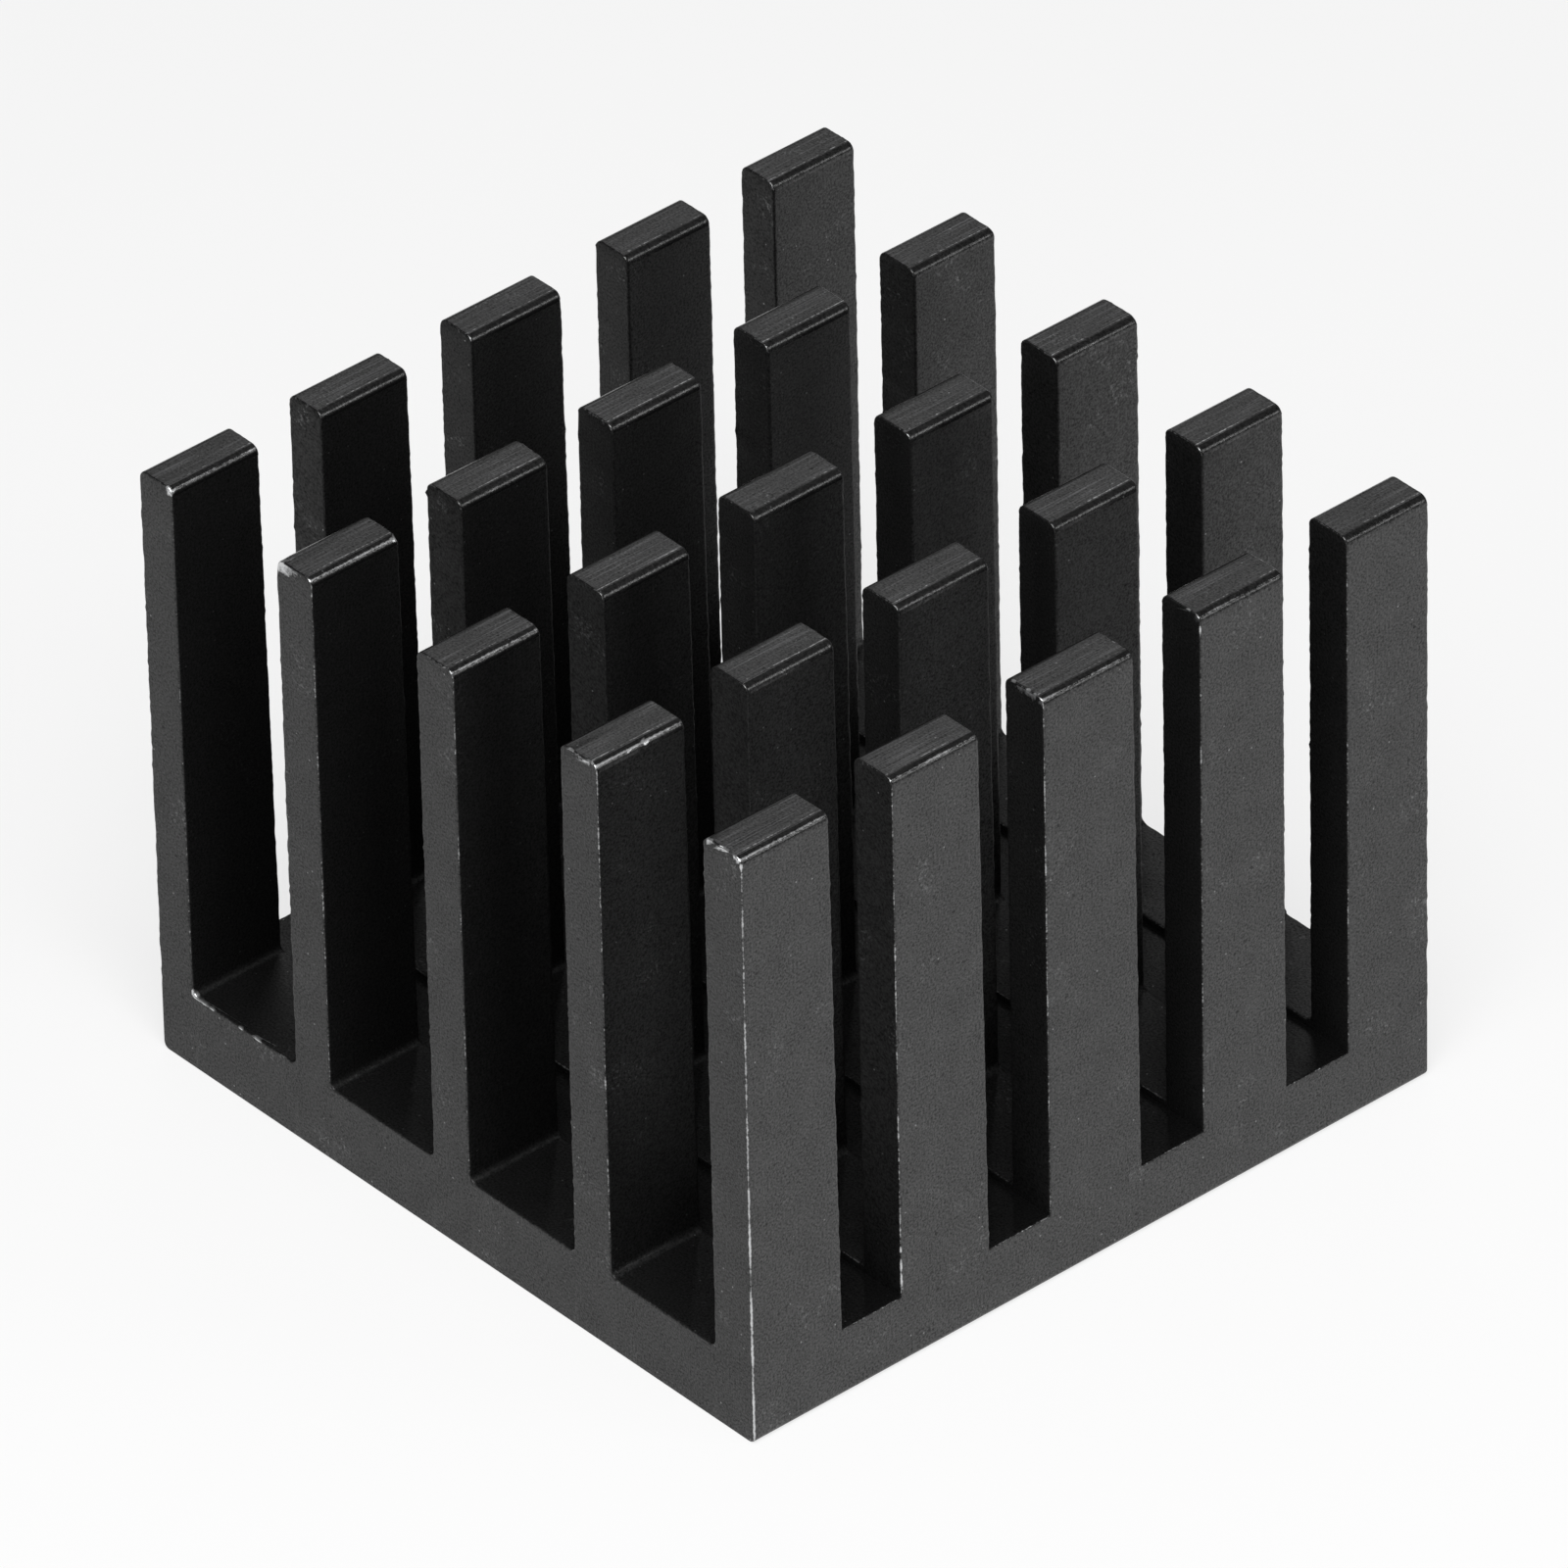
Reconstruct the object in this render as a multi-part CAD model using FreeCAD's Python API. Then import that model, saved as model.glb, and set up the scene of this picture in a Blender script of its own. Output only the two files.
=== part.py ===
"""Pin-fin heat sink: a comb section drawn along Y, then slotted across its fins.

All sizes are in millimetres. The origin is at the centre of the underside,
+Z points up the pins, X runs across the fins and Y runs along the extrusion.
"""

import math
import os

import FreeCAD
import Part

# Outside sizes
width = 28.0
length = 28.0
height = 22.0

# Comb section, the same all along Y
base_thickness = 2.8
fin_count = 5
fin_thickness = 1.6
tip_radius = 0.3
root_radius = 0.25
foot_radius = 0.25

# Saw cuts across the fins, which leave the pins, spaced evenly from the middle
cut_count = 4
cut_pitch = 6.2
cut_width = 2.6
cut_below_floor = 0.25

# How far a cutting solid runs past the faces it opens
overrun = 1.0


def section_point(x, z):
    """A point of the section, in the plane of the end face at -Y."""
    return FreeCAD.Vector(x, -length / 2, z)


def rounded_wire(corners):
    """A closed wire through the corners, each one rounded to its own radius."""
    joints = []
    for index, (corner, radius) in enumerate(corners):
        before = (corners[index - 1][0] - corner).normalize()
        after = (corners[(index + 1) % len(corners)][0] - corner).normalize()
        half_angle = before.getAngle(after) / 2
        bisector = (before + after).normalize()
        centre = corner + bisector * (radius / math.sin(half_angle))
        reach = radius / math.tan(half_angle)
        start = corner + before * reach
        middle = centre - bisector * radius
        end = corner + after * reach
        joints.append((start, middle, end))
    edges = []
    for index, (start, middle, end) in enumerate(joints):
        edges.append(Part.LineSegment(joints[index - 1][2], start).toShape())
        edges.append(Part.Arc(start, middle, end).toShape())
    return Part.Wire(edges)


def comb_corners():
    """The section's corners with their radii, anticlockwise from the left foot."""
    fin_pitch = (width - fin_thickness) / (fin_count - 1)
    corners = [
        (section_point(-width / 2, 0), foot_radius),
        (section_point(width / 2, 0), foot_radius),
    ]
    for fin in reversed(range(fin_count)):
        left = -width / 2 + fin * fin_pitch
        right = left + fin_thickness
        if fin < fin_count - 1:
            corners.append((section_point(right, base_thickness), root_radius))
        corners.append((section_point(right, height), tip_radius))
        corners.append((section_point(left, height), tip_radius))
        if fin > 0:
            corners.append((section_point(left, base_thickness), root_radius))
    return corners


def extrusion():
    """The drawn bar, sawn to length."""
    section = Part.Face(rounded_wire(comb_corners()))
    return section.extrude(FreeCAD.Vector(0, length, 0))


def saw_cuts():
    """The equal slots across the fins, a little deeper than the floor between them."""
    cut_floor = base_thickness - cut_below_floor
    cut_height = height - cut_floor + overrun
    cuts = []
    for cut in range(cut_count):
        middle = (cut - (cut_count - 1) / 2) * cut_pitch
        corner = FreeCAD.Vector(-width / 2 - overrun, middle - cut_width / 2, cut_floor)
        cuts.append(Part.makeBox(width + 2 * overrun, cut_width, cut_height, corner))
    return cuts


def heat_sink():
    """One solid: the comb with every pin standing on the common base."""
    return extrusion().cut(saw_cuts())


os.makedirs("parts", exist_ok=True)
heat_sink().exportStep("parts/heat_sink.step")
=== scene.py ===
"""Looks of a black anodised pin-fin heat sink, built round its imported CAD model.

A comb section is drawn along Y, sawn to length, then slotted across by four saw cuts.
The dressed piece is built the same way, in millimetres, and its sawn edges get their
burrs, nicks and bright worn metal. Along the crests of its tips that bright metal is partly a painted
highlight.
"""

import math

import bmesh
import bpy
from mathutils import Matrix, Vector, noise


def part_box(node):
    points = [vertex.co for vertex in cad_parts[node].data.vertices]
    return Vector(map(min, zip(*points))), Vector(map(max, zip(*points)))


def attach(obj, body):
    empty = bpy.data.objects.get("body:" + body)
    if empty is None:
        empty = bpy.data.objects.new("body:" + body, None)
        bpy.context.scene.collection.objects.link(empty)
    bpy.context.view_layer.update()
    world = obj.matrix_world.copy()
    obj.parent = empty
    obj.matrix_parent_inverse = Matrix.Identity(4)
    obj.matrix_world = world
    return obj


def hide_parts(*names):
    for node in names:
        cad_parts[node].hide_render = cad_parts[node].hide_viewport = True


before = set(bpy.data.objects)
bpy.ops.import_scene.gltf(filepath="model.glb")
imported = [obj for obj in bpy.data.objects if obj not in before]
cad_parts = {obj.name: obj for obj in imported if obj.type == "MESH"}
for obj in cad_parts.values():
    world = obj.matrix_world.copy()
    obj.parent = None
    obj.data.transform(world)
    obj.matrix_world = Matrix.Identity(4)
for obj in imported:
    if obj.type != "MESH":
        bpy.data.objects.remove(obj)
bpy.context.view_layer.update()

MM = 0.001

# Outside sizes in millimetres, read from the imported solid
LOW, HIGH = (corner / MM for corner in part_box("heat_sink"))
HALF_WIDTH = HIGH.x
HALF_LENGTH = HIGH.y
HEIGHT = HIGH.z

# The drawn section, as in the part's source
FLOOR = 2.8
FIN_COUNT = 5
FIN_THICKNESS = 1.6
TIP_RADIUS = 0.3
ROOT_RADIUS = 0.25
ARC_SEGMENTS = 6

# The saw cuts across the fins, as in the part's source
CUT_COUNT = 4
CUT_PITCH = 6.2
CUT_WIDTH = 2.6
CUT_BELOW_FLOOR = 0.25
CUT_FLOOR = FLOOR - CUT_BELOW_FLOOR

# A sawn edge is broken by this much, and its wear fades out over the reach beside it
EDGE_BREAK = 0.045
WEAR_REACH = 0.105
WEAR_SPACING = 0.17
RIM_SPACING = 0.06
TINY = 1e-4

# Edges that turn by more than this are sharp, and a face looks mostly, nearly or squarely along
# an axis when its normal's share there is over these
SHARP_ANGLE = math.radians(50)
MOSTLY = 0.8
NEARLY = 0.9
SQUARELY = 0.99

# The camera, as fitted to the photograph: the point it looks at, where it stands and its lens
AIM = Vector((-0.098, -0.113, 10.647)) * MM
CAMERA_DISTANCE = 647.15 * MM
CAMERA_AZIMUTH = math.radians(49.302)
CAMERA_ELEVATION = math.radians(35.543)
CAMERA_ROLL = math.radians(-1.237)
LENS_MM = 479.72
SENSOR_MM = 36.0

# How far the camera sees, and half the side of the table, in metres
CAMERA_REACH = 10
TABLE_HALF_SIZE = 1.5


def linear_colour(hex_value):
    """An sRGB hex colour as the linear RGBA that the shaders take."""
    channels = []
    for start in (1, 3, 5):
        level = int(hex_value[start:start + 2], 16) / 255
        channels.append(level / 12.92 if level <= 0.04045 else ((level + 0.055) / 1.055) ** 2.4)
    return (*channels, 1.0)


# The drawn and slotted shape

def fin_sides(fin):
    """Both side planes of a fin, as x."""
    pitch = (2 * HALF_WIDTH - FIN_THICKNESS) / (FIN_COUNT - 1)
    left = -HALF_WIDTH + fin * pitch
    return left, left + FIN_THICKNESS


def cut_sides(cut):
    """Both side planes of a saw cut, as y."""
    middle = (cut - (CUT_COUNT - 1) / 2) * CUT_PITCH
    return middle - CUT_WIDTH / 2, middle + CUT_WIDTH / 2


FIN_PLANES = [side for fin in range(FIN_COUNT) for side in fin_sides(fin)]
CUTS = [cut_sides(cut) for cut in range(CUT_COUNT)]
ROW_PLANES = [-HALF_LENGTH, *(side for cut in CUTS for side in cut), HALF_LENGTH]
OUTER_SIDE = len(FIN_PLANES) - 1
LAST_ROW_PLANE = len(ROW_PLANES) - 1


def everything(bm):
    return bm.verts[:] + bm.edges[:] + bm.faces[:]


def slice_at(bm, axis, value, geometry=None):
    """Adds the edges where a plane square to an axis crosses the mesh, or only some of its faces."""
    normal = Vector((0, 0, 0))
    normal[axis] = 1
    bmesh.ops.bisect_plane(bm, geom=geometry or everything(bm), plane_co=normal * value, plane_no=normal)


def add_comb_section(bm):
    """The drawn section as one face at the front end, its corners rounded."""
    corners = [(-HALF_WIDTH, 0, ROOT_RADIUS), (HALF_WIDTH, 0, ROOT_RADIUS)]
    for fin in reversed(range(FIN_COUNT)):
        left, right = fin_sides(fin)
        if fin < FIN_COUNT - 1:
            corners.append((right, FLOOR, ROOT_RADIUS))
        corners.append((right, HEIGHT, TIP_RADIUS))
        corners.append((left, HEIGHT, TIP_RADIUS))
        if fin > 0:
            corners.append((left, FLOOR, ROOT_RADIUS))
    points = [(bm.verts.new((x, -HALF_LENGTH, z)), radius) for x, z, radius in corners]
    bm.faces.new([point for point, radius in points])
    for size in (ROOT_RADIUS, TIP_RADIUS):
        rounded = [point for point, radius in points if point.is_valid and radius == size]
        bmesh.ops.bevel(bm, geom=rounded, offset=size, offset_type="OFFSET", affect="VERTICES",
                        segments=ARC_SEGMENTS, profile=0.5, material=-1)


def draw_to_length(bm):
    """Draws the section out along Y, with an edge wherever a saw cut will start or end."""
    drawn = bmesh.ops.extrude_face_region(bm, geom=bm.faces[:])["geom"]
    moved = [item for item in drawn if isinstance(item, bmesh.types.BMVert)]
    bmesh.ops.translate(bm, verts=moved, vec=(0, 2 * HALF_LENGTH, 0))
    for y in ROW_PLANES[1:-1]:
        slice_at(bm, 1, y)


def saw_slots(bm):
    """Takes out the fins between the sides of each cut and closes the walls and floors."""
    slice_at(bm, 2, CUT_FLOOR)
    removed = []
    for face in bm.faces:
        middle = face.calc_center_median()
        if middle.z > CUT_FLOOR + TINY and any(front < middle.y < back for front, back in CUTS):
            removed.append(face)
    bmesh.ops.delete(bm, geom=removed, context="FACES")
    for front, back in CUTS:
        rims = []
        for edge in bm.edges:
            middle = (edge.verts[0].co + edge.verts[1].co) / 2
            if edge.is_boundary and abs(middle.z - CUT_FLOOR) < TINY and front < middle.y < back:
                rims.append(edge)
        bmesh.ops.contextual_create(bm, geom=rims)
    bmesh.ops.holes_fill(bm, edges=[edge for edge in bm.edges if edge.is_boundary], sides=0)
    bmesh.ops.dissolve_limit(bm, angle_limit=math.radians(1), verts=bm.verts[:], edges=bm.edges[:])
    bmesh.ops.recalc_face_normals(bm, faces=bm.faces[:])


def break_sawn_edges(bm):
    """Gives every sharp outer edge the small break that a saw and a tumble leave."""
    sharp = [edge for edge in bm.edges if edge.calc_face_angle_signed() > SHARP_ANGLE]
    bmesh.ops.bevel(bm, geom=sharp, offset=EDGE_BREAK, offset_type="OFFSET", affect="EDGES",
                    segments=2, profile=0.5, material=-1)


def is_tip(face):
    return face.calc_center_median().z > HEIGHT - TIP_RADIUS


def is_sawn(face):
    return abs(face.normal.y) > NEARLY


def is_flank(face):
    """True for the outer side faces and the sides of the base."""
    return abs(face.calc_center_median().x) > HALF_WIDTH - TINY


def slice_faces(bm, wanted, axis, value):
    """Adds the edges where a plane crosses the faces that are wanted, and no others."""
    bm.normal_update()
    faces = [face for face in bm.faces if wanted(face)]
    edges = {edge for face in faces for edge in face.edges}
    verts = {vert for face in faces for vert in face.verts}
    slice_at(bm, axis, value, [*faces, *edges, *verts])


def add_wear_loops(bm):
    """Adds edges beside every sawn edge, then cuts those narrow strips into short lengths."""
    for fin in range(FIN_COUNT):
        left, right = fin_sides(fin)
        slice_at(bm, 0, left + WEAR_REACH)
        slice_at(bm, 0, right - WEAR_REACH)
    for front, back in zip(ROW_PLANES[::2], ROW_PLANES[1::2]):
        slice_at(bm, 1, front + WEAR_REACH)
        slice_at(bm, 1, back - WEAR_REACH)
    slice_at(bm, 2, CUT_FLOOR - WEAR_REACH)
    slice_at(bm, 2, FLOOR + ROOT_RADIUS + WEAR_REACH)
    slice_at(bm, 2, HEIGHT - TIP_RADIUS - WEAR_REACH)
    for fin in range(FIN_COUNT):
        slice_faces(bm, is_tip, 0, fin_sides(fin)[1] - TIP_RADIUS - EDGE_BREAK)
    slice_faces(bm, is_sawn, 2, FLOOR - WEAR_REACH)
    for fin in range(FIN_COUNT):
        left, right = fin_sides(fin)
        slice_faces(bm, is_sawn, 0, left - ROOT_RADIUS)
        slice_faces(bm, is_sawn, 0, right + ROOT_RADIUS)
    for y in ROW_PLANES[1:-1]:
        slice_faces(bm, is_flank, 1, y)
    subdivide_strips(bm, WEAR_SPACING, lambda edge: True)
    subdivide_strips(bm, RIM_SPACING, is_tip_rim)


def is_tip_rim(edge):
    """True for the edges that run across a fin at the end of its tip."""
    start, end = (vert.co for vert in edge.verts)
    return min(start.z, end.z) > HEIGHT - EDGE_BREAK - TINY and abs(start.y - end.y) < TINY


def subdivide_strips(bm, spacing, wanted):
    """Cuts narrow strips of faces into lengths of about the spacing, where their edges are wanted."""
    long_edges = {}
    for face in bm.faces:
        lengths = [edge.calc_length() for edge in face.edges]
        if len(lengths) == 4 and min(lengths) < WEAR_REACH:
            for edge, length in zip(face.edges, lengths):
                if length > 2 * spacing and wanted(edge):
                    long_edges[edge] = round(round(length, 1) / spacing) - 1
    for cuts in sorted(set(long_edges.values())):
        chosen = [edge for edge in long_edges if long_edges[edge] == cuts and edge.is_valid]
        bmesh.ops.subdivide_edges(bm, edges=chosen, cuts=cuts, use_grid_fill=True)


# Wear of the sawn edges, and a painted highlight along the crests of the tips, from 0 for a whole skin
# to 1 for bare metal

# How worn each upright edge of the front end is, from the left side of fin 1 to the right side of fin 5
END_EDGE_WEAR = (0.32, 0.42, 0.38, 0.5, 0.4, 0.48, 0.4, 0.52, 0.42, 1.0)
# How worn each upright edge of the right side is, from the front end to the back
SIDE_EDGE_WEAR = (1.0, 0.44, 0.62, 0.42, 0.58, 0.42, 0.52, 0.4, 0.5, 0.32)
INNER_EDGE_WEAR = 0.3
FLOOR_EDGE_WEAR = 0.42
SLOT_FLOOR_WEAR = 0.56
STEP_EDGE_WEAR = 0.58
BASE_EDGE_WEAR = 0.36
# Towards the tips the front corner is less worn by this much, and the other front edges more
CORNER_RELIEF = 0.35
FRONT_TIP_WEAR = 0.12
# The rims of the tips, and the faint line where a tip's right rounding meets its flat top
TIP_RIM_WEAR = 0.55
TOP_LINE_WEAR = 0.55
# The crest of that rounding: partly worn bare and partly a painted highlight, which is brightest on the
# front row and the outer fin, dimmer on the inner pins and fades towards the back
CREST_WEAR_AND_HIGHLIGHT = 0.84
INNER_CREST_WEAR_AND_HIGHLIGHT = 0.25
CREST_REACH = 0.075
CREST_HIGHLIGHT_FADE = 0.6
CREST_ANGLE = math.radians(45)
# Wear comes and goes along an edge by this share, in patches of this size
WEAR_CHANGE = 0.3
WEAR_PATCH = 1.3
# How far the sawn edges stray from true, in waves of two lengths
RAGGED = 0.009
LONG_WAVE = 0.6
SHORT_WAVE = 0.13
# How far a burr stands out for each step of the noise over its threshold, and about how wide it is
BURR = 0.07
BURR_THRESHOLD = 0.75
BURR_WIDTH = 0.2
# How steeply the wear and the depth of a mark rise towards its middle, and a rub towards the edge
MARK_WEAR_SLOPE = 1.6
MARK_DEPTH_SLOPE = 2.0
RUB_SLOPE = 1.4
# A knock goes in along Y, and down by this share of its depth
MARK_DROP = 0.7
# Smooth noise seldom passes two thirds either way, so it is scaled up. The start picks a pattern
NOISE_GAIN = 1.6
NOISE_START = Vector((7.3, 1.9, 4.6))

# How far each fin side stands off its true plane along X, and each side of a saw cut along Y,
# at the root and at the tip
FIN_SHIFTS = (0, -0.07, -0.09, -0.05, -0.12, -0.02, -0.07, 0.02, -0.14, 0)
ROOT_SHIFTS = (0, 0.24, 0.05, 0.07, -0.02, 0.17, 0.16, 0.04, 0.04, 0)
TIP_SHIFTS = (0, 0.1, 0.03, -0.07, -0.04, 0.02, 0.16, -0.02, 0.02, 0)

# Places rubbed or knocked bright: the point, how far it reaches, and how far it is pushed in
MARKS = (
    ((-7.28, -14, 21.82), 0.44, 0.03),
    ((-5.88, -10.66, 21.91), 0.17, 0.02),
    ((-5.66, -14, 21.86), 0.1, 0.02),
    ((-5.6, -14, 21.1), 0.12, 0.0),
    ((-12.58, -14, 21.94), 0.17, 0.01),
    ((-12.45, -14, 21.84), 0.17, 0.01),
    ((0.42, -14, 22), 0.1, 0.0),
    ((-0.31, -14, 22), 0.06, 0.0),
    ((6.24, -14, 22), 0.1, 0.02),
    ((6.34, -14, 22), 0.1, 0.02),
    ((6.58, -14, 22), 0.06, 0.0),
    ((7.04, -14, 22), 0.1, 0.02),
    ((7.33, -12.66, 21.9), 0.13, 0.02),
    ((7.33, -12.03, 21.9), 0.18, 0.03),
    ((7.17, -14, 21.97), 0.1, 0.02),
    ((12.56, -14, 21.98), 0.15, 0.03),
    ((12.7, -14, 22), 0.14, 0.02),
    ((13.22, -14, 22), 0.15, 0.04),
    ((13.38, -14, 22), 0.14, 0.03),
    ((13.72, -14, 21.98), 0.1, 0.0),
    ((13.88, -14, 21.9), 0.12, 0.0),
    ((13.98, -14, 21.75), 0.14, 0.0),
    ((-12.3, -14, 2.85), 0.3, 0.01),
    ((-11.9, -14, 2.8), 0.34, 0.01),
    ((-11.5, -14, 2.8), 0.22, 0.01),
    ((-10.1, -14, 2.8), 0.16, 0.01),
    ((-9.3, -14, 2.8), 0.3, 0.01),
    ((-8.05, -14, 2.8), 0.14, 0.0),
    ((12.75, -1.8, 22), 0.12, 0.01),
    ((13.35, -1.8, 22), 0.14, 0.02),
    ((13.62, -1.8, 21.96), 0.12, 0.01),
    ((13.88, -1.8, 21.84), 0.12, 0.01),
    ((13.25, 1.8, 22), 0.12, 0.01),
    ((13.84, 1.8, 21.86), 0.12, 0.01),
    ((13.5, 4.4, 21.98), 0.13, 0.01),
    ((13.84, 4.4, 21.86), 0.14, 0.01),
    ((14, 4.4, 21.5), 0.2, 0.0),
    ((14, -8.0, 3.2), 0.3, 0.0),
    ((14, -8.0, 3.7), 0.3, 0.0),
    ((14, -8.0, 4.4), 0.16, 0.0),
)


def nearest(planes, value):
    """The number of the plane nearest a value, and how far off it is."""
    number = min(range(len(planes)), key=lambda n: abs(planes[n] - value))
    return number, abs(planes[number] - value)


def beside(distance, reach=WEAR_REACH):
    """1 on a line of wear, falling to 0 at the end of its reach."""
    return max(0.0, 1 - distance / reach)


def box_depth(x, z, half_x, low, high, radius):
    """How deep a point lies inside a round-cornered box that is centred on x = 0."""
    over_x = abs(x) - (half_x - radius)
    over_z = abs(z - (low + high) / 2) - ((high - low) / 2 - radius)
    outside = math.hypot(max(over_x, 0), max(over_z, 0))
    return radius - outside - min(max(over_x, over_z), 0)


def section_depth(x, z):
    """How deep a point lies under the outline of the comb section."""
    fin, _ = nearest([sum(fin_sides(fin)) / 2 for fin in range(FIN_COUNT)], x)
    in_fin = box_depth(x - sum(fin_sides(fin)) / 2, z, FIN_THICKNESS / 2, -HEIGHT, HEIGHT, TIP_RADIUS)
    in_base = box_depth(x, z, HALF_WIDTH, 0, FLOOR, ROOT_RADIUS)
    return max(in_fin, in_base, 0)


def wobble(point, size):
    """Smooth noise, nearly all of it from -1 to 1, that changes over about this many millimetres."""
    return NOISE_GAIN * noise.noise(point / size + NOISE_START)


def tip_wear_and_highlight(point, fin_plane, row_plane):
    """How worn a tip is along the crest of its right rounding, with a painted highlight there, and where
    that meets the flat top.
    """
    if fin_plane % 2 == 0:
        return 0.0
    x, y, z = point
    side = FIN_PLANES[fin_plane]
    strength = INNER_CREST_WEAR_AND_HIGHLIGHT
    # The painted highlight: brighter on the front row and the outer fin, dimmer on the inner pins and
    # fading towards the back
    if row_plane < 2 or fin_plane == OUTER_SIDE:
        behind = (y + HALF_LENGTH) / (2 * HALF_LENGTH)
        strength = CREST_WEAR_AND_HIGHLIGHT * (1 - CREST_HIGHLIGHT_FADE * behind ** 4)
    crest_x = side - TIP_RADIUS * (1 - math.cos(CREST_ANGLE))
    crest_z = HEIGHT - TIP_RADIUS * (1 - math.sin(CREST_ANGLE))
    crest = beside(math.hypot(x - crest_x, z - crest_z), CREST_REACH)
    top_line = beside(math.hypot(side - TIP_RADIUS - x, HEIGHT - z), EDGE_BREAK)
    return max(crest * strength, top_line * TOP_LINE_WEAR)


def upright_wear(z, fin_plane, row_plane):
    """How worn an upright edge of a pin is, by where the pin stands and how high up it is."""
    height = (z - FLOOR) / (HEIGHT - FLOOR)
    if row_plane == 0 and fin_plane == OUTER_SIDE:
        return END_EDGE_WEAR[-1] - CORNER_RELIEF * height
    if row_plane == 0:
        return END_EDGE_WEAR[fin_plane] + FRONT_TIP_WEAR * height ** 4
    if fin_plane == OUTER_SIDE:
        return SIDE_EDGE_WEAR[row_plane]
    return INNER_EDGE_WEAR


def root_wear(point, fin_plane, row_plane):
    """How worn the edges of the base, the channel floors and the steps down to the slots are."""
    at_corner = row_plane == 0 and fin_plane == OUTER_SIDE
    if at_corner and HALF_WIDTH - abs(point.x) < WEAR_REACH:
        return END_EDGE_WEAR[-1]
    if row_plane not in (0, LAST_ROW_PLANE):
        return STEP_EDGE_WEAR
    return FLOOR_EDGE_WEAR if point.z > FLOOR - WEAR_REACH else BASE_EDGE_WEAR


def edge_wear_and_highlight(point):
    """How worn the metal is here, with the painted highlight along the tip crests, and how near it is to
    a sawn edge.
    """
    x, y, z = point
    fin_plane, _ = nearest(FIN_PLANES, x)
    row_plane, along = nearest(ROW_PLANES, y)
    in_cut = any(front - TINY < y < back + TINY for front, back in CUTS)
    if in_cut and z < CUT_FLOOR + TINY:
        near = beside(max(HALF_WIDTH - abs(x), CUT_FLOOR - z))
        return near * SLOT_FLOOR_WEAR, near
    if z < CUT_FLOOR + TINY and row_plane not in (0, LAST_ROW_PLANE):
        return 0.0, 0.0
    near = beside(max(along, section_depth(x, z)))
    if z > HEIGHT - TIP_RADIUS - TINY:
        return max(near * TIP_RIM_WEAR, tip_wear_and_highlight(point, fin_plane, row_plane)), near
    if z > FLOOR + ROOT_RADIUS:
        return near * upright_wear(z, fin_plane, row_plane), near
    return near * root_wear(point, fin_plane, row_plane), near


def marked(point, near):
    """How bare the marks leave a point of a sawn edge or a tip, and how far they push it in."""
    bare = 0.0
    pushed_in = 0.0
    if near <= 0 and point.z <= HEIGHT - TIP_RADIUS:
        return bare, pushed_in
    for middle, reach, depth in MARKS:
        closeness = beside((point - Vector(middle)).length, reach)
        rubbed = min(1.0, RUB_SLOPE * near) if depth == 0 else 1.0
        bare = max(bare, min(1.0, MARK_WEAR_SLOPE * closeness) * rubbed)
        pushed_in = max(pushed_in, depth * min(1.0, MARK_DEPTH_SLOPE * closeness))
    return bare, pushed_in


def roughened(point, near, pushed_in):
    """Where a point of a sawn edge ends up: astray, out on a burr or pushed in by a knock."""
    x, y, z = point
    fin_plane, _ = nearest(FIN_PLANES, x)
    row_plane, _ = nearest(ROW_PLANES, y)
    stray = RAGGED * (wobble(point, LONG_WAVE) + wobble(point, SHORT_WAVE))
    burr = BURR * max(0.0, wobble(point, BURR_WIDTH) - BURR_THRESHOLD)
    out = near * (stray + burr)
    if abs(z - HEIGHT) > TIP_RADIUS:
        x += out if fin_plane % 2 else -out
    y += out - pushed_in if row_plane % 2 else pushed_in - out
    z -= MARK_DROP * pushed_in
    return Vector((min(max(x, LOW.x), HIGH.x), min(max(y, LOW.y), HIGH.y), z))


def wear_edges(bm):
    """Stores the wear of every point, with the painted highlight along the tip crests, and makes the
    sawn edges ragged.
    """
    # The stored wear also holds the painted highlight along the tip crests
    wear = bm.verts.layers.float.new("wear")
    for vert in bm.verts:
        point = vert.co.copy()
        worn, near = edge_wear_and_highlight(point)
        bare, pushed_in = marked(point, near)
        vert[wear] = max(worn * (1 + WEAR_CHANGE * wobble(point, WEAR_PATCH)), bare)
        if near + pushed_in > 0 and point.z >= CUT_FLOOR - WEAR_REACH:
            vert.co = roughened(point, near, pushed_in)


def between(planes, shifts, value):
    """The shift at a place between two planes, in proportion to how near it is to each."""
    for low, high, start, end in zip(planes, planes[1:], shifts, shifts[1:]):
        if low <= value <= high:
            return start + (end - start) * (value - low) / (high - low)
    return 0.0


def set_off_true(bm):
    """Moves the fin sides and the cuts by the small amounts that the die and the saw strayed."""
    for vert in bm.verts:
        x, y, z = vert.co
        at_root = between(ROW_PLANES, ROOT_SHIFTS, y)
        at_tip = between(ROW_PLANES, TIP_SHIFTS, y)
        height = min(max((z - FLOOR) / (HEIGHT - FLOOR), 0), 1)
        vert.co.x += between(FIN_PLANES, FIN_SHIFTS, x)
        vert.co.y += at_root + (at_tip - at_root) * height


# Faces by how they were made, in the order of the piece's material slots. The channel, slot and slot
# floor finishes carry painted shade as a lower gloss
FLANK, CHANNEL, TIP, SHOULDER, SAWN_END, SLOTTED, SLOT_FLOOR = range(7)


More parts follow.
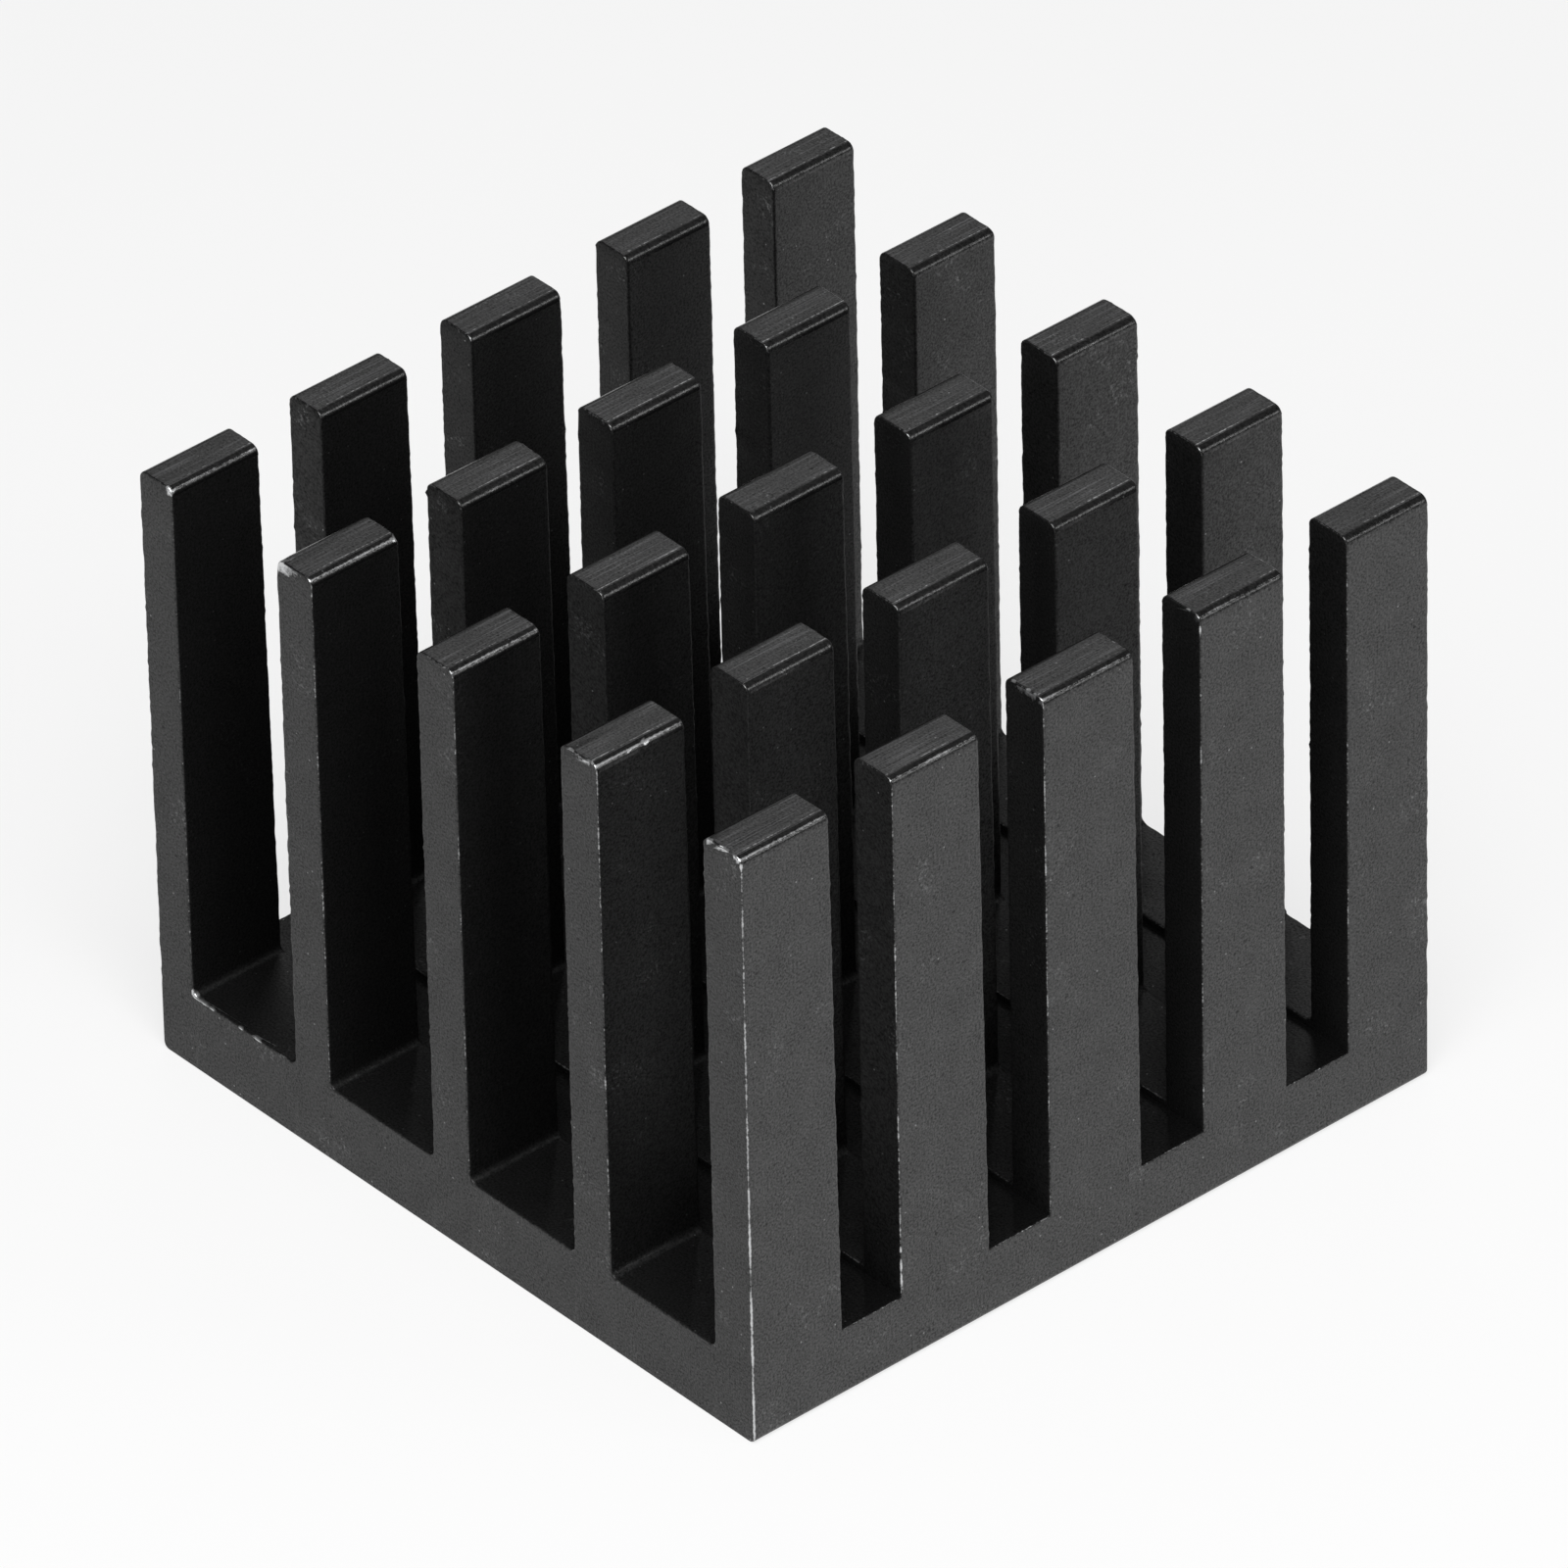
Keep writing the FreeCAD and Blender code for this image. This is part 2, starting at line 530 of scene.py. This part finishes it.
def finish_of(face):
    """Which finish a face has: outer side, channel, tip, its rounding, sawn end, slot or slot floor."""
    middle = face.calc_center_median()
    if abs(face.normal.y) > MOSTLY:
        return SAWN_END if abs(middle.y) > HALF_LENGTH - EDGE_BREAK else SLOTTED
    if face.normal.z > MOSTLY and abs(middle.z - CUT_FLOOR) < EDGE_BREAK:
        return SLOT_FLOOR
    if middle.z > HEIGHT - TIP_RADIUS:
        return TIP if face.normal.z > SQUARELY else SHOULDER
    return FLANK if abs(middle.x) > HALF_WIDTH - EDGE_BREAK or middle.z < TINY else CHANNEL


def shade_faces(bm):
    """Smooth shading with the inside corners kept sharp, and a finish for each face."""
    for face in bm.faces:
        face.smooth = True
        face.material_index = finish_of(face)
    for edge in bm.edges:
        edge.smooth = edge.calc_face_angle() < SHARP_ANGLE


def pin_fin_body():
    """The whole heat sink as one closed mesh, in place of its plain solid."""
    bm = bmesh.new()
    add_comb_section(bm)
    draw_to_length(bm)
    saw_slots(bm)
    break_sawn_edges(bm)
    add_wear_loops(bm)
    wear_edges(bm)
    set_off_true(bm)
    shade_faces(bm)
    bmesh.ops.scale(bm, vec=(MM, MM, MM), verts=bm.verts[:])
    mesh = bpy.data.meshes.new("pin_fin_body")
    bm.to_mesh(mesh)
    bm.free()
    body = bpy.data.objects.new("pin_fin_body", mesh)
    bpy.context.scene.collection.objects.link(body)
    normals = body.modifiers.new("flat_faces", "WEIGHTED_NORMAL")
    normals.keep_sharp = True
    for material in (flank(), channel(), tip(), shoulder(), sawn_end(), slotted(), slot_floor()):
        mesh.materials.append(material)
    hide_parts("heat_sink")
    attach(body, "root")


# Materials, with the sizes of their patterns

GRAIN = 0.08 * MM
MOTTLE = 1.0 * MM
PIT_SPACING = 0.9 * MM
STREAK_WIDTH = 0.05 * MM
STREAK_LENGTH = 4 * MM
GRIT = 0.12 * MM
SPECK_SPACING = 0.65 * MM
SCUFF_SPACING = 1.8 * MM
BUMP_HEIGHT = 0.004 * MM


def add_node(tree, kind, links=None, **settings):
    """Adds a node with its settings, and links or sets each named or numbered input."""
    node = tree.nodes.new(kind)
    for name, value in settings.items():
        setattr(node, name, value)
    for name, value in (links or {}).items():
        if isinstance(value, bpy.types.NodeSocket):
            tree.links.new(value, node.inputs[name])
        else:
            node.inputs[name].default_value = value
    return node


def streaked(tree, place, colour, strength):
    """A colour with the thin paler streaks that the die leaves along Y."""
    stretched = add_node(tree, "ShaderNodeMapping", {
        "Vector": place, "Scale": (1 / STREAK_WIDTH, 1 / STREAK_LENGTH, 1 / STREAK_WIDTH),
    })
    lines = add_node(tree, "ShaderNodeTexNoise", {
        "Vector": stretched.outputs["Vector"], "Scale": 1.0, "Detail": 2.0, "Roughness": 0.6,
    })
    pale_lines = add_node(tree, "ShaderNodeMapRange", {
        "Value": lines.outputs["Fac"], "From Min": 0.5, "From Max": 0.75,
        "To Min": 0.0, "To Max": strength,
    })
    mixed = add_node(tree, "ShaderNodeMix", {
        "Factor": pale_lines.outputs["Result"], "A": colour, "B": linear_colour("#6e6e70"),
    }, data_type="RGBA")
    return mixed.outputs["Result"]


def skin_gloss(tree, place, grain, gloss):
    """The gloss of the skin, varied by its grain, a faint mottling and single dark pits."""
    mottle = add_node(tree, "ShaderNodeTexNoise", {
        "Vector": place, "Scale": 1 / MOTTLE, "Detail": 2.0, "Roughness": 0.5,
    })
    both = add_node(tree, "ShaderNodeMath", {
        0: mottle.outputs["Fac"], 1: 0.12, 2: grain,
    }, operation="MULTIPLY_ADD")
    varied = add_node(tree, "ShaderNodeMapRange", {
        "Value": both.outputs["Value"], "From Min": 0.36, "From Max": 0.76,
        "To Min": 0.2 * gloss, "To Max": 1.8 * gloss,
    })
    # The pits are about 0.12 mm across, and there is about one to every six square millimetres
    pits = add_node(tree, "ShaderNodeTexVoronoi", {"Vector": place, "Scale": 1 / PIT_SPACING})
    outside_pit = add_node(tree, "ShaderNodeMapRange", {
        "Value": pits.outputs["Distance"], "From Min": 0.04, "From Max": 0.09, "To Min": 0.45,
    })
    pitted = add_node(tree, "ShaderNodeMath", {
        0: varied.outputs["Result"], 1: outside_pit.outputs["Result"],
    }, operation="MULTIPLY")
    return pitted.outputs["Value"]


def edge_metal(tree, grit):
    """How much bare metal shows along the worn edges and as the painted highlight on the tip crests,
    broken up by grit.
    """
    # The wear attribute also holds the painted highlight along the tip crests
    worn = add_node(tree, "ShaderNodeAttribute", attribute_name="wear")
    shifted = add_node(tree, "ShaderNodeMath", {
        0: grit, 1: 0.9, 2: worn.outputs["Fac"],
    }, operation="MULTIPLY_ADD")
    shown = add_node(tree, "ShaderNodeMapRange", {
        "Value": shifted.outputs["Value"], "From Min": 0.9, "From Max": 1.3, "To Max": 0.9,
    })
    return shown.outputs["Result"]


def stray_specks(tree, place):
    """Bright specks up to 0.08 mm across, about one to every five square millimetres."""
    cells = add_node(tree, "ShaderNodeTexVoronoi", {"Vector": place, "Scale": 1 / SPECK_SPACING})
    speck = add_node(tree, "ShaderNodeMapRange", {
        "Value": cells.outputs["Distance"], "From Min": 0.06, "From Max": 0.03, "To Max": 0.3,
    })
    return speck.outputs["Result"]


def scuffs(tree, place, grit):
    """Scuffs and dust: loose patches of pale grit about 1 mm across, some millimetres apart."""
    patches = add_node(tree, "ShaderNodeTexNoise", {
        "Vector": place, "Scale": 1 / SCUFF_SPACING, "Detail": 2.0, "Roughness": 0.5,
    })
    in_patch = add_node(tree, "ShaderNodeMapRange", {
        "Value": patches.outputs["Fac"], "From Min": 0.56, "From Max": 0.7,
    })
    pale_grit = add_node(tree, "ShaderNodeMapRange", {
        "Value": grit, "From Min": 0.55, "From Max": 0.7, "To Max": 0.14,
    })
    scuff = add_node(tree, "ShaderNodeMath", {
        0: in_patch.outputs["Result"], 1: pale_grit.outputs["Result"],
    }, operation="MULTIPLY")
    return scuff.outputs["Value"]


def bare_share(tree, place):
    """How much bare metal shows anywhere: the most of the edges, the specks and the scuffs."""
    grit = add_node(tree, "ShaderNodeTexNoise", {
        "Vector": place, "Scale": 1 / GRIT, "Detail": 2.0, "Roughness": 0.6,
    })
    loose = add_node(tree, "ShaderNodeMath", {
        0: stray_specks(tree, place), 1: scuffs(tree, place, grit.outputs["Fac"]),
    }, operation="MAXIMUM")
    share = add_node(tree, "ShaderNodeMath", {
        0: edge_metal(tree, grit.outputs["Fac"]), 1: loose.outputs["Value"],
    }, operation="MAXIMUM")
    return share.outputs["Value"]


def black_anodised(name, roughness, gloss, streaks=0.0):
    """Aluminium with a dyed black oxide skin: satin, near black, bright where the skin is worn off.

    The skin is a clear mineral film full of dye, so it shines like a dielectric and
    hardly scatters. Etching before the bath leaves a fine grain that sparkles a little.
    Along worn edges the bare metal shows through in dots and lines, and along the tip crests it also
    serves as a painted highlight.
    """
    material = bpy.data.materials.new(name)
    material.use_nodes = True
    tree = material.node_tree
    tree.nodes.clear()
    place = add_node(tree, "ShaderNodeTexCoord").outputs["Object"]
    grain = add_node(tree, "ShaderNodeTexNoise", {
        "Vector": place, "Scale": 1 / GRAIN, "Detail": 3.0, "Roughness": 0.65,
    })
    bump = add_node(tree, "ShaderNodeBump", {
        "Height": grain.outputs["Fac"], "Distance": BUMP_HEIGHT, "Strength": 1.0,
    })
    skin_colour = linear_colour("#0b0b0b")
    if streaks:
        skin_colour = streaked(tree, place, skin_colour, streaks)
    skin = add_node(tree, "ShaderNodeBsdfPrincipled", {
        "Base Color": skin_colour, "Roughness": roughness, "IOR": 1.6,
        "Specular IOR Level": skin_gloss(tree, place, grain.outputs["Fac"], gloss),
        "Normal": bump.outputs["Normal"],
    })
    # Bare metal: silver, bright and a little rough
    bare = add_node(tree, "ShaderNodeBsdfPrincipled", {
        "Base Color": linear_colour("#d9dadb"), "Metallic": 1.0, "Roughness": 0.35,
        "Normal": bump.outputs["Normal"],
    })
    mixed = add_node(tree, "ShaderNodeMixShader", {
        0: bare_share(tree, place), 1: skin.outputs["BSDF"], 2: bare.outputs["BSDF"],
    })
    add_node(tree, "ShaderNodeOutputMaterial", {"Surface": mixed.outputs["Shader"]})
    return material


def flank():
    """The drawn outer sides: even satin."""
    return black_anodised("black_anodised_flank", roughness=0.42, gloss=0.53)


def channel():
    """The drawn faces between the fins, with a lower gloss than the outer sides as painted shade between
    the fins.
    """
    return black_anodised("black_anodised_channel_painted_shade", roughness=0.45, gloss=0.365)


def tip():
    """The flat tops, streaked by the die."""
    return black_anodised("black_anodised_tip", roughness=0.36, gloss=0.5, streaks=0.45)


def shoulder():
    """The roundings of the tips, smoother than the flat faces."""
    return black_anodised("black_anodised_shoulder", roughness=0.26, gloss=0.5)


def sawn_end():
    """The sawn ends, etched matt."""
    return black_anodised("black_anodised_sawn_end", roughness=0.6, gloss=0.53)


def slotted():
    """The walls of the saw cuts: matt, and dark from a low gloss that is painted shade inside the cuts.
    """
    return black_anodised("black_anodised_slotted_painted_shade", roughness=0.62, gloss=0.24)


def slot_floor():
    """The floors of the saw cuts: a faint shine, and dark from a low gloss that is painted shade inside
    the cuts.
    """
    return black_anodised("black_anodised_slot_floor_painted_shade", roughness=0.4, gloss=0.2)


# How much of the table is plain white to the camera and in reflections, the rest shows shadow
WHITE_SHARE = 0.75


def white_table():
    """A matt white table top. The camera and the reflections see it nearly white, with a soft shadow."""
    material = bpy.data.materials.new("white_table")
    material.use_nodes = True
    tree = material.node_tree
    tree.nodes.clear()
    matt = add_node(tree, "ShaderNodeBsdfDiffuse", {"Color": linear_colour("#f4f4f4")})
    white = add_node(tree, "ShaderNodeEmission", {"Color": linear_colour("#ffffff"), "Strength": 1.0})
    ray = add_node(tree, "ShaderNodeLightPath")
    seen = add_node(tree, "ShaderNodeMath", {
        0: ray.outputs["Is Camera Ray"], 1: ray.outputs["Is Glossy Ray"],
    }, operation="ADD")
    seen_through = add_node(tree, "ShaderNodeMath", {
        0: seen.outputs["Value"], 1: ray.outputs["Is Transmission Ray"],
    }, operation="ADD")
    share = add_node(tree, "ShaderNodeMath", {
        0: seen_through.outputs["Value"], 1: WHITE_SHARE,
    }, operation="MULTIPLY")
    mixed = add_node(tree, "ShaderNodeMixShader", {
        0: share.outputs["Value"], 1: matt.outputs["BSDF"], 2: white.outputs["Emission"],
    })
    add_node(tree, "ShaderNodeOutputMaterial", {"Surface": mixed.outputs["Shader"]})
    return material


# The studio

def add_camera():
    """The photograph's camera: turned by its azimuth, tipped by its elevation, then rolled."""
    turn = Matrix.Rotation(CAMERA_AZIMUTH, 4, "Z")
    tip = Matrix.Rotation(math.pi / 2 - CAMERA_ELEVATION, 4, "X")
    roll = Matrix.Rotation(CAMERA_ROLL, 4, "Z")
    back_off = Matrix.Translation((0, 0, CAMERA_DISTANCE))
    data = bpy.data.cameras.new("camera")
    data.lens = LENS_MM
    data.sensor_width = SENSOR_MM
    data.clip_end = CAMERA_REACH
    camera = bpy.data.objects.new("camera", data)
    camera.matrix_world = Matrix.Translation(AIM) @ turn @ tip @ roll @ back_off
    bpy.context.scene.collection.objects.link(camera)
    bpy.context.scene.camera = camera


def add_floor():
    """A wide white table under the heat sink."""
    bm = bmesh.new()
    bmesh.ops.create_grid(bm, x_segments=1, y_segments=1, size=TABLE_HALF_SIZE)
    mesh = bpy.data.meshes.new("floor")
    bm.to_mesh(mesh)
    bm.free()
    floor = bpy.data.objects.new("floor", mesh)
    bpy.context.scene.collection.objects.link(floor)
    mesh.materials.append(white_table())


def add_softbox(name, azimuth, elevation, distance, size, power):
    """A square lamp that faces the heat sink from this azimuth and elevation, in radians."""
    turn = Matrix.Rotation(azimuth, 4, "Z")
    tip = Matrix.Rotation(math.pi / 2 - elevation, 4, "X")
    back_off = Matrix.Translation((0, 0, distance))
    data = bpy.data.lights.new(name, "AREA")
    data.shape = "SQUARE"
    data.size = size
    data.energy = power
    lamp = bpy.data.objects.new(name, data)
    lamp.matrix_world = Matrix.Translation(AIM) @ turn @ tip @ back_off
    bpy.context.scene.collection.objects.link(lamp)


def add_world(level):
    """An even grey-white room."""
    world = bpy.data.worlds.new("studio")
    world.use_nodes = True
    background = world.node_tree.nodes["Background"]
    background.inputs["Color"].default_value = linear_colour("#ffffff")
    background.inputs["Strength"].default_value = level
    bpy.context.scene.world = world


add_camera()
add_floor()
add_world(level=0.16)
# From over the camera, so that no flat face mirrors it
add_softbox("front_softbox", azimuth=CAMERA_AZIMUTH, elevation=math.radians(58),
            distance=0.22, size=0.15, power=0.5)
# From behind, where the tips and floors mirror it faintly
add_softbox("back_softbox", azimuth=math.radians(225), elevation=math.radians(41),
            distance=0.8, size=0.3, power=0.25)
# Low from the right, for the line of light along the rounding of each tip
add_softbox("side_softbox", azimuth=math.radians(122.6), elevation=math.radians(24),
            distance=0.8, size=0.22, power=0.55)
pin_fin_body()

bpy.context.scene.view_settings.view_transform = "Standard"
